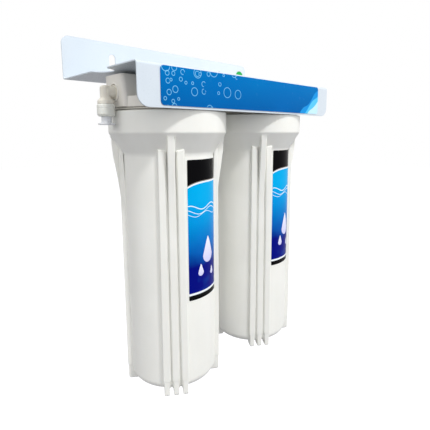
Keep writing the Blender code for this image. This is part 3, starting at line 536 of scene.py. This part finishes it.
def cone_height(radius):
    return CONE_TOP - CONE_DROP * (COLLAR_RADIUS - radius) / (COLLAR_RADIUS - BODY_RADIUS)


def rib_stations(offset):
    """Sections down a rib, as (height, outer reach, inner reach, half width, corner).

    An inner reach of None means that the rib is rooted in the wall at that height.
    """
    half, corner = RIB_HALF_WIDTH, 1.0 * MM
    flare = 0.0 if offset else RIB_FLARE
    top = cone_height(math.hypot(RIB_REACH + flare, abs(offset) + half))
    shares = (0, 0.03) if offset else (0, 0.08, 0.16, 0.25, 0.35, 0.45, 0.56, 0.68, 0.82, 1.0)
    heights = [top - share * FLARE_LENGTH for share in shares]
    heights += [-150 * MM, -200 * MM, -240 * MM, FOOT_TOP + 0.3 * MM]
    rows = []
    for height in heights:
        share = min(1.0, (top - height) / FLARE_LENGTH)
        bow = flare * (0.5 + 0.5 * math.cos(math.pi * share)) ** 1.5
        rows.append((height, RIB_REACH + bow, None, half, corner))
    half, corner = 2.8 * MM, 0.7 * MM
    for height in (FOOT_TOP, *(BOTTOM + rise * MM for rise in (8, 5, 2.6, 0.9))):
        rows.append((height, FOOT_REACH, None, half, corner))
    for height in (BOTTOM - 0.2 * MM, BOTTOM - 0.7 * MM):
        rows.append((height, FOOT_REACH, 37.4 * MM - (height - BOTTOM) * 0.5, half, corner))
    for step in range(6):
        angle = math.radians(90) * step / 5.4
        sink = 1 - math.cos(angle)
        height = FOOT_END + FOOT_TIP - FOOT_TIP * math.sin(angle)
        inner = 38.6 * MM + 1.2 * MM * sink
        rows.append((height, FOOT_REACH - FOOT_TIP * sink, inner, half - 1.3 * MM * sink, corner))
    return rows


def root_lane(height, edge, side, in_gap):
    """Plan of a rib's side where it meets the wall, from inside the wall out to the side."""
    fillet, rise, floor = 0.4 * MM, 0.4 * MM, -0.12 * MM
    if in_gap:
        floor = 1.3 * MM * min(1.0, max(0.0, -(height + 45 * MM) / (30 * MM)))
        fillet, rise = 0.72 * MM, 1.2 * MM + floor
    radius = wall_radius(height)
    foot = edge + side * fillet
    surface = math.sqrt(radius**2 - edge**2)
    deep = math.sqrt(max(radius - 2.2 * MM, 1 * MM) ** 2 - foot**2)
    skin = math.sqrt(radius**2 - foot**2) + floor
    slope = (edge + side * 0.3 * fillet, surface + 0.7 * max(floor, 0) + 0.3 * rise)
    return [(foot, deep), (foot, skin), slope, (edge, surface + rise)]


def rib_section(offset, row):
    """Plan of a rib at one height, as (x, distance from the axis) points, round in order."""
    height, outer, inner, half, corner = row
    draft = min(1.0, (FOOT_TOP - height) / (FOOT_TOP - SIDE_RIB_TOP))
    if draft > 0:
        offset *= 1 - 0.085 * draft
        half *= 1 - 0.08 * draft
    lanes = []
    arcs = []
    for side in (1, -1):
        edge = offset + side * half
        if inner is None:
            lanes.append(root_lane(height, edge, side, offset * side <= 0))
        else:
            curve = ((1, 0), (0.7, 0.08), (0.25, 0.35), (0, 1))
            lanes.append([(edge - side * corner * back, inner + corner * out) for back, out in curve])
        edge -= side * 0.15 * MM
        arc = []
        for step in range(4):
            angle = math.radians(90) * step / 3
            back = corner * (1 - math.cos(angle))
            arc.append((edge - side * back, outer - corner * (1 - math.sin(angle))))
        arcs.append(arc)
    return lanes[0] + arcs[0] + arcs[1][::-1] + lanes[1][::-1]


def rib_mesh(offset):
    bm = bmesh.new()
    rows = []
    for row in rib_stations(offset):
        rows.append([bm.verts.new((x, -reach, row[0])) for x, reach in rib_section(offset, row)])
    bm.faces.new(rows[0])
    bm.faces.new(rows[-1])
    for first, second in zip(rows, rows[1:]):
        for here in range(len(first)):
            after = (here + 1) % len(first)
            bm.faces.new((first[here], first[after], second[after], second[here]))
    if offset:
        slope_top(bm, offset)
    return mesh_from(bm)


def slope_top(bm, offset):
    """The top of a side rib cut off by a plane that leans in to the cone, and closed."""
    side = math.copysign(1, offset)
    far = Vector((offset + side * 3.9 * MM, -RIB_REACH, -35.4 * MM))
    near = Vector((offset - side * 3.9 * MM, -RIB_REACH, -36.6 * MM))
    normal = (far - near).cross(Vector((0, 1, 0.9)))
    if normal.z < 0:
        normal.negate()
    geometry = list(bm.verts) + list(bm.edges) + list(bm.faces)
    cut = bmesh.ops.bisect_plane(bm, geom=geometry, plane_co=far, plane_no=normal, clear_outer=True)
    edges = [item for item in cut["geom_cut"] if isinstance(item, bmesh.types.BMEdge)]
    bmesh.ops.edgeloop_fill(bm, edges=edges)


def sump_mesh():
    """Sump: cup with collar, cone, body, seat and spigot, and the ribs in their groups."""
    cup = turned(
        [
            (54.0, 0, 0.5), (59.0, 0, 0.9), (59.0, -19.9, 4.0), (46.0, -40.0, 9.0),
            (46.0, -277.6, 9.5), (0, -277.6, 0), (0, -253.5, 0), (12.4, -253.5, 1.0),
            (12.4, -272.6, 0.5), (17.0, -272.6, 0.3), (17.0, -262.8, 0), (18.0, -261.8, 0.3),
            (19.0, -262.8, 0), (19.0, -272.6, 0.5), (42.5, -272.6, 7.7), (42.5, -41.7, 2.0),
            (51.9, -24.2, 1.0), (51.9, -16.7, 0.4), (54.0, -14.5, 0.4),
        ],
        112,
        6,
    )
    group = [rib_mesh(offset) for offset in (-RIB_OFFSET, 0.0, RIB_OFFSET)]
    ribs = []
    for place in range(RIB_GROUPS):
        turn = Matrix.Rotation(2 * math.pi * place / RIB_GROUPS - RIB_GROUP_TURN, 4, "Z")
        ribs += [moved(rib, turn) for rib in group]
    return combined(cup, joined(*ribs), "UNION")


def label_patch(inner, thickness, low, high, middle, half_angle, corner):
    """A film wrapped round the body, with rounded corners, as a thin closed mesh."""
    outline = filleted(
        [
            (-half_angle * inner, low, corner), (half_angle * inner, low, corner),
            (half_angle * inner, high, corner), (-half_angle * inner, high, corner),
        ],
        5,
    )
    bm = bmesh.new()
    corners = [bm.verts.new((across, 0.0, height)) for across, height in outline]
    bm.faces.new(corners)
    for cut in range(1, 24):
        across = half_angle * inner * (2 * cut / 24 - 1)
        geometry = list(bm.verts) + list(bm.edges) + list(bm.faces)
        bmesh.ops.bisect_plane(bm, geom=geometry, plane_co=(across, 0, 0), plane_no=(1, 0, 0))
    pushed = bmesh.ops.extrude_face_region(bm, geom=list(bm.faces))
    for item in pushed["geom"]:
        if isinstance(item, bmesh.types.BMVert):
            item.co.y = -thickness
    for vert in bm.verts:
        angle = middle + vert.co.x / inner
        reach = inner - vert.co.y
        vert.co = Vector((reach * math.sin(angle), -reach * math.cos(angle), vert.co.z))
    return mesh_from(bm)


def cap_mesh():
    """Cap: deck, rim with its seam, plug, and on top the port block, bosses and webs."""
    round_part = turned(
        [
            (0, 12.6, 0), (57.0, 12.6, 1.2), (57.0, 3.1, 0.35), (53.2, 3.1, 0.2), (53.2, 2.0, 0.2),
            (56.0, 2.0, 0.2), (56.0, 1.35, 0.2), (51.5, 1.35, 0.2), (51.5, -14.5, 0.3),
            (51.2, -14.5, 0), (51.2, -16.8, 0.2), (48.4, -16.8, 0), (48.4, -20.0, 0),
            (51.2, -20.0, 0.2), (51.2, -22.0, 0.5), (45.2, -22.0, 0.5), (45.2, 6.0, 1.5),
            (19.0, 6.0, 0.5), (19.0, -12.2, 0), (18.0, -13.2, 0.3), (17.0, -12.2, 0),
            (12.4, -12.2, 0), (12.4, -21.5, 0.6), (0, -21.5, 0),
        ],
        96,
        4,
    )
    block = bmesh.new()
    rings = []
    for half, height in ((57.6, 3.3), (59.9, 31.5)):
        corners = [(half, -16, 4), (half, 16, 4), (-half, 16, 4), (-half, -16, 4)]
        outline = filleted(millimetres(corners), 6)
        rings.append([block.verts.new((x, y, height * MM)) for x, y in outline])
    for ring in rings:
        block.faces.new(ring)
    for here in range(len(rings[0])):
        after = (here + 1) % len(rings[0])
        block.faces.new((rings[0][here], rings[0][after], rings[1][after], rings[1][here]))
    block = bevelled(mesh_from(block), 0.7 * MM)
    pad = turned([(0, -59.7, 0), (8.6, -59.7, 0.6), (8.6, 59.7, 0.6), (0, 59.7, 0)], 64)
    up_to_ports = Matrix.Translation((0, 0, PORT_RISE))
    pad = moved(pad, up_to_ports @ Matrix.Rotation(math.pi / 2, 4, "Y"))
    shape = combined(round_part, combined(block, pad, "UNION"), "UNION")
    boss = turned(
        [
            (0, 11.4, 0), (5.9, 11.4, 0), (5.4, 33.7, 0.6), (1.9, 33.7, 0.2), (1.9, 30.0, 0),
            (0, 30.0, 0),
        ],
        40,
        3,
    )
    for x in (-27, 27):
        for y in (-27, 27):
            low, high = sorted((y, math.copysign(13, y)))
            web = [(x - 1.6, low, 0), (x + 1.6, low, 0), (x + 1.6, high, 0), (x - 1.6, high, 0)]
            web = bevelled(prism(filleted(millimetres(web)), "Z", 10 * MM, 29.5 * MM), 0.5 * MM)
            shape = combined(shape, web, "UNION")
            shape = combined(shape, moved(boss, Matrix.Translation((x * MM, y * MM, 0))), "UNION")
    port = turned([(0, 43.7, 0), (6.6, 43.7, 0), (6.6, 58.6, 0), (7.4, 60.4, 0), (0, 60.4, 0)], 48)
    port = moved(port, Matrix.Rotation(math.pi / 2, 4, "Y"))
    for turn in (0, math.pi):
        place = up_to_ports @ Matrix.Rotation(turn, 4, "Z")
        shape = combined(shape, moved(port, place), "DIFFERENCE")
    return shape


def thread_mesh(root, crest, pitch, low, high, segments=72):
    """A helical thread ridge that tapers into the root at both ends."""
    half = 1.2 * MM
    turns = (high - low - 2 * half) / pitch
    count = int(turns * segments)
    bm = bmesh.new()
    rows = []
    for step in range(count + 1):
        angle = 2 * math.pi * turns * step / count
        middle = low + half + pitch * turns * step / count
        fade = min(1.0, step / (0.12 * segments), (count - step) / (0.12 * segments))
        tip = root - 0.3 * MM + (crest - root + 0.3 * MM) * max(fade, 0.05)
        sunk = root - 0.6 * MM
        ridge = []
        for radius, rise in ((sunk, -half), (tip, -0.5 * MM), (tip, 0.5 * MM), (sunk, half)):
            across = Matrix.Rotation(angle, 2) @ Vector((radius, 0))
            ridge.append(bm.verts.new((*across, middle + rise)))
        rows.append(ridge)
    for first, second in zip(rows, rows[1:]):
        for here in range(4):
            after = (here + 1) % 4
            bm.faces.new((first[here], first[after], second[after], second[here]))
    bm.faces.new(rows[0])
    bm.faces.new(rows[-1])
    return mesh_from(bm)


def hexagon_mesh(flats, low, high, chamfer):
    """A hexagon whose corners are turned off at both ends, as on a nut."""
    reach = flats / 2 / math.cos(math.pi / 6)
    outline = []
    for corner in range(6):
        angle = math.pi / 3 * corner + math.pi / 6
        outline.append((reach * math.cos(angle), reach * math.sin(angle)))
    blunt = turned(
        [
            (0, low, 0), (flats / 2, low, 0), (reach, low + chamfer, 0),
            (reach, high - chamfer, 0), (flats / 2, high, 0), (0, high, 0),
        ],
        72,
    )
    return combined(prism(millimetres(outline), "Z", low * MM, high * MM), blunt, "INTERSECT")


def elbow_mesh():
    """Inlet elbow: rounded knee, stub towards +X, socket that opens downwards."""
    upright = turned(
        [
            (0, 5.2, 0), (4.6, 5.2, 2.2), (4.6, -5.4, 1.2), (7.2, -8.2, 0.5), (7.2, -10.7, 0.4),
            (6.8, -10.7, 0), (6.8, -18.7, 0.3), (5.4, -18.7, 0), (5.4, -8.2, 0), (3.4, -8.2, 0),
            (3.4, -5.4, 0), (2.4, -5.4, 0), (2.4, -2.0, 0), (0, -2.0, 0),
        ],
        56,
    )
    arm = turned(
        [
            (0, 0, 0), (5.2, 0, 0), (5.2, 8.2, 0), (6.2, 8.2, 0), (6.2, 18.5, 0.6),
            (2.4, 18.5, 0), (2.4, 4.0, 0), (0, 4.0, 0),
        ],
        48,
    )
    arm = moved(arm, Matrix.Rotation(math.pi / 2, 4, "Y"))
    return combined(upright, arm, "UNION")


def nut_mesh():
    """Collet nut: bevelled top, a shallow groove, and a lip round its mouth."""
    return turned(
        [
            (7.1, -11.0, 0), (7.2, -11.0, 0.1), (7.9, -12.2, 0.5), (7.9, -14.5, 0.2),
            (7.65, -14.8, 0.1), (7.65, -15.1, 0.1), (7.9, -15.4, 0.2), (7.9, -19.8, 0.6),
            (7.4, -20.9, 0.3), (6.7, -20.9, 0), (6.7, -21.8, 0.3), (4.8, -21.8, 0.2),
            (4.8, -19.0, 0), (7.1, -19.0, 0),
        ],
        72,
    )


def collet_mesh():
    return turned(
        [
            (3.4, -13.7, 0), (4.5, -13.7, 0.2), (5.1, -16.2, 0.2), (5.1, -18.7, 0.2), (4.5, -18.7, 0),
            (4.5, -27.7, 0.9), (7.5, -27.7, 0.35), (7.5, -29.1, 0.35), (3.4, -29.1, 0.5),
        ],
        56,
    )


def nipple_mesh():
    """Joining nipple: a tube along X with a hexagon round its middle."""
    stub = turned([(4.0, -14.8, 0.3), (6.2, -14.8, 0.5), (6.2, 14.8, 0.5), (4.0, 14.8, 0.3)], 56)
    bore = turned([(0, -9, 0), (4.0, -9, 0), (4.0, 9, 0), (0, 9, 0)], 56)
    nut = combined(hexagon_mesh(17.0, -3.8, 3.8, 0.8), bore, "DIFFERENCE")
    return moved(combined(stub, nut, "UNION"), Matrix.Rotation(math.pi / 2, 4, "Y"))


def screw_mesh():
    """Cap screw: shank, flange and hexagon head, the flange's underside at height zero."""
    shank = turned(
        [
            (0, -13.0, 0), (1.5, -12.0, 0), (1.5, 0, 0), (4.6, 0, 0.15), (4.6, 0.9, 0.3),
            (0, 0.9, 0),
        ],
        32,
    )
    head = hexagon_mesh(7.0, 0.7, 3.9, 0.45)
    return combined(shank, head, "UNION")


def rounded_rectangle(half, low, high, low_corner, high_corner, steps):
    """Outline in metres, from millimetres, of a rectangle that is centred on X."""
    corners = [
        (-half, low, low_corner), (half, low, low_corner),
        (half, high, high_corner), (-half, high, high_corner),
    ]
    return filleted(millimetres(corners), steps)


def notch_outline():
    """Plan of the left end's notch: a round bay whose mouth is rounded on both sides."""
    bay, mouth = 13.0, 3.0
    rise = math.sqrt((bay + mouth) ** 2 - mouth**2)
    swing = math.atan2(rise, mouth)
    outline = []
    for step in range(7):
        angle = math.pi + swing * step / 6
        x = mouth - BRACKET_END + mouth * math.cos(angle)
        outline.append((x, rise + mouth * math.sin(angle)))
    for step in range(1, 28):
        angle = swing - 2 * swing * step / 28
        outline.append((-BRACKET_END + bay * math.cos(angle), bay * math.sin(angle)))
    outline += [(x, -y) for x, y in reversed(outline[:7])]
    outline = [(-140.0, rise)] + outline + [(-140.0, -rise)]
    return [(x * MM, y * MM - WALL_DISTANCE) for x, y in outline]


def bracket_mesh():
    """The bent sheet with finer bends, rounded corners, slots and notches, edges eased."""
    inner_bend, outer_bend = 1.8, 3.0
    section = [
        (0, BRACKET_TOP, 0), (-SHEET, BRACKET_TOP, 0), (-SHEET, SHELF_TOP, inner_bend),
        (FASCIA_FRONT, SHELF_TOP, outer_bend), (FASCIA_FRONT, FASCIA_END, 0),
        (FASCIA_FRONT + SHEET, FASCIA_END, 0), (FASCIA_FRONT + SHEET, SHELF_TOP - SHEET, inner_bend),
        (0, SHELF_TOP - SHEET, outer_bend),
    ]
    section = filleted(millimetres(section), 8)
    body = prism(section, "X", -BRACKET_END * MM, BRACKET_END * MM)
    front = rounded_rectangle(BRACKET_END, FASCIA_END, BRACKET_TOP, 10.5, 8.0, 10)
    body = combined(body, prism(front, "Y", -143 * MM, 3 * MM), "INTERSECT")
    notch = prism(notch_outline(), "Z", -25 * MM, -18 * MM)
    cutters = [notch, moved(notch, Matrix.Scale(-1, 4, (1, 0, 0)))]
    slot = prism(rounded_rectangle(3.7, -9.8, 9.8, 3.69, 3.69, 8), "Y", -4 * MM, 2 * MM)
    for x in (-80.9, 80.9):
        cutters.append(moved(slot, Matrix.Translation((x * MM, 0, 0))))
    body = combined(body, joined(*cutters), "DIFFERENCE")
    return bevelled(body, 0.22 * MM, 2, 50)


def build_bracket():
    body = "bracket_assembly"
    piece("bracket_sheet", bracket_mesh(), COAT, body, ["bracket"])
    label = rounded_rectangle(114.9, -53.9, -22.5, 3.5, 3.5, 8)
    label = prism(label, "Y", (FASCIA_FRONT - 0.6) * MM, FASCIA_FRONT * MM)
    piece("fascia_film", label, fascia_label_material(), body, ["fascia_label"])
    disc = turned([(0, -0.3, 0), (7.0, -0.3, 0.1), (7.0, 0.3, 0.1), (0, 0.3, 0)], 48)
    disc = moved(disc, Matrix.Rotation(math.pi / 2, 4, "X"))
    place = (123.25 * MM, -1.5 * MM, 6.5 * MM)
    green = sticker_green()
    piece("sticker_disc", disc, green, body, ["inspection_sticker"], place)


def build_housings():
    sump = sump_mesh()
    cap = cap_mesh()
    thread = thread_mesh(51.5 * MM, 53.4 * MM, 5.0 * MM, -13.6 * MM, 0.6 * MM)
    screw = screw_mesh()
    fixed = "bracket_assembly"
    for stage, x in HOUSINGS.items():
        place = (x, -WALL_DISTANCE, COLLAR_TOP)
        name = stage + "_cap"
        piece(name + "_moulding", cap, CAP_WHITE, fixed, [name], place)
        piece(name + "_thread", thread, CAP_WHITE, fixed, [], place)
        name = stage + "_sump"
        moving = name + "_body"
        piece(name + "_moulding", sump, WHITE, moving, [name], place)
        top = LABEL_TOPS[stage]
        label = label_patch(
            inner=BODY_RADIUS + 0.05 * MM,
            thickness=0.3 * MM,
            low=top - 138.8 * MM,
            high=top,
            middle=math.radians(11),
            half_angle=math.radians(26.3),
            corner=1.2 * MM,
        )
        ink = sump_label_material(stage + "_label_print", top)
        piece(stage + "_label_film", label, ink, moving, [name + "_label"], place)
        number = 0
        for dx in (-SCREW_OFFSET, SCREW_OFFSET):
            for dy in (-SCREW_OFFSET, SCREW_OFFSET):
                number += 1
                spot = (x + dx, dy - WALL_DISTANCE, -20.5 * MM)
                name = f"{stage}_cap_screw_{number}"
                piece(name + "_zinc", screw, ZINC, fixed, [name], spot, 0.4 * number)


def build_fittings():
    shapes = (
        ("elbow", elbow_mesh(), IVORY, "ivory_plastic"),
        ("elbow_nut", nut_mesh(), PALE, "ivory_plastic"),
        ("collet", collet_mesh(), COOL, "cool_plastic"),
    )
    for stage, x, turn in (("inlet", -ELBOW_X, 0.0), ("outlet", ELBOW_X, math.pi)):
        for name, mesh, material, slot in shapes:
            body = stage + "_collet_body" if name == "collet" else "bracket_assembly"
            node = f"{stage}_{name}"
            place = (x, -WALL_DISTANCE, PORT_Z)
            piece(node + "_moulding", mesh, material, body, [node], place, turn)
    piece(
        "nipple_moulding",
        nipple_mesh(),
        IVORY,
        "bracket_assembly",
        ["joining_nipple"],
        (0, -WALL_DISTANCE, PORT_Z),
    )


def dress_hidden_nodes():
    """Materials of the CAD nodes that stay."""
    finishes = {"sediment_cartridge": filter_fibre(), "carbon_block": pressed_carbon()}
    for name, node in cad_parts.items():
        if "seal" in name or "gasket" in name:
            finishes[name] = RUBBER
        if "end_cap" in name:
            finishes[name] = CAP_WHITE
    for name, finish in finishes.items():
        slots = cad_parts[name].material_slots
        if not slots:
            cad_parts[name].data.materials.append(finish)
        for slot in slots:
            slot.material = finish


def build_floor():
    """A pale floor that reads white to the camera and sends back a plain grey's light."""
    bm = bmesh.new()
    for x, y in ((-6, -6), (6, -6), (6, 6), (-6, 6)):
        bm.verts.new((x, y, -0.62))
    bm.faces.new(list(bm.verts))
    floor = bpy.data.objects.new("floor", mesh_from(bm))
    bpy.context.scene.collection.objects.link(floor)
    shader = Shader("floor")
    path = shader.tree.nodes.new("ShaderNodeLightPath")
    seen = shader.math("MAXIMUM", path.outputs["Is Camera Ray"], path.outputs["Is Transmission Ray"])
    seen = shader.math("MULTIPLY_ADD", path.outputs["Is Glossy Ray"], 0.4, seen, clamp=True)
    floor.data.materials.append(
        shader.set(
            Base_Color=rgb(110, 110, 116),
            Roughness=0.9,
            Emission_Color=(1, 1, 1, 1),
            Emission_Strength=seen,
        )
    )


def build_surroundings():
    """White surroundings, a little dimmer as a light than to the camera."""
    world = bpy.data.worlds.new("surroundings")
    bpy.context.scene.world = world
    world.use_nodes = True
    tree = world.node_tree
    background = tree.nodes["Background"]
    path = tree.nodes.new("ShaderNodeLightPath")
    seen = tree.nodes.new("ShaderNodeMath")
    seen.operation = "MAXIMUM"
    tree.links.new(path.outputs["Is Camera Ray"], seen.inputs[0])
    tree.links.new(path.outputs["Is Transmission Ray"], seen.inputs[1])
    strength = tree.nodes.new("ShaderNodeMapRange")
    tree.links.new(seen.outputs[0], strength.inputs["Value"])
    strength.inputs["To Min"].default_value = 0.7
    strength.inputs["To Max"].default_value = 1.0
    tree.links.new(strength.outputs[0], background.inputs["Strength"])
    background.inputs["Color"].default_value = (1, 1, 1, 1)


def build_lamps():
    """Soft lamps, of which the key alone shows in glossy surfaces."""
    lamps = (
        ("key", (-0.15, -1.34, 1.48), 0.22, 23.0),
        ("front_left", (-0.9, -1.3, 0.0), 1.0, 3.3),
        ("front_right", (1.25, -1.15, 0.0), 1.2, 9.0),
        ("left", (-1.5, 0.1, 0.35), 0.8, 4.0),
        ("right", (1.4, 0.3, 0.35), 0.8, 5.5),
        ("back", (0.3, 1.5, 0.6), 1.0, 4.0),
    )
    for name, place, size, power in lamps:
        data = bpy.data.lights.new(name, "AREA")
        data.energy = power
        data.size = size
        lamp = bpy.data.objects.new(name, data)
        lamp.location = place
        aim = Vector((0, -0.08, -0.17)) - Vector(place)
        lamp.rotation_euler = aim.to_track_quat("-Z", "Y").to_euler()
        lamp.visible_glossy = name == "key"
        bpy.context.scene.collection.objects.link(lamp)


def build_camera():
    """The camera that was fitted to the picture's edges, its lens and shifts in pixels."""
    data = bpy.data.cameras.new("camera")
    data.sensor_width = 36.0
    data.lens = data.sensor_width * 374.67 / PICTURE_SIZE
    data.shift_x = -4.96 / PICTURE_SIZE
    data.shift_y = -22.99 / PICTURE_SIZE
    camera = bpy.data.objects.new("camera", data)
    yaw, pitch, roll = 0.7624, 0.1551, -0.0041
    level = math.cos(pitch)
    forward = Vector((math.sin(yaw) * level, math.cos(yaw) * level, -math.sin(pitch)))
    turn = forward.to_track_quat("-Z", "Y").to_matrix().to_4x4()
    turn = turn @ Matrix.Rotation(roll, 4, "Z")
    camera.matrix_world = Matrix.Translation((-0.29398, -0.3961, -0.07671)) @ turn
    bpy.context.scene.collection.objects.link(camera)
    bpy.context.scene.camera = camera
    bpy.context.scene.view_settings.view_transform = "Standard"


build_bracket()
build_housings()
build_fittings()
dress_hidden_nodes()
build_floor()
build_surroundings()
build_lamps()
build_camera()
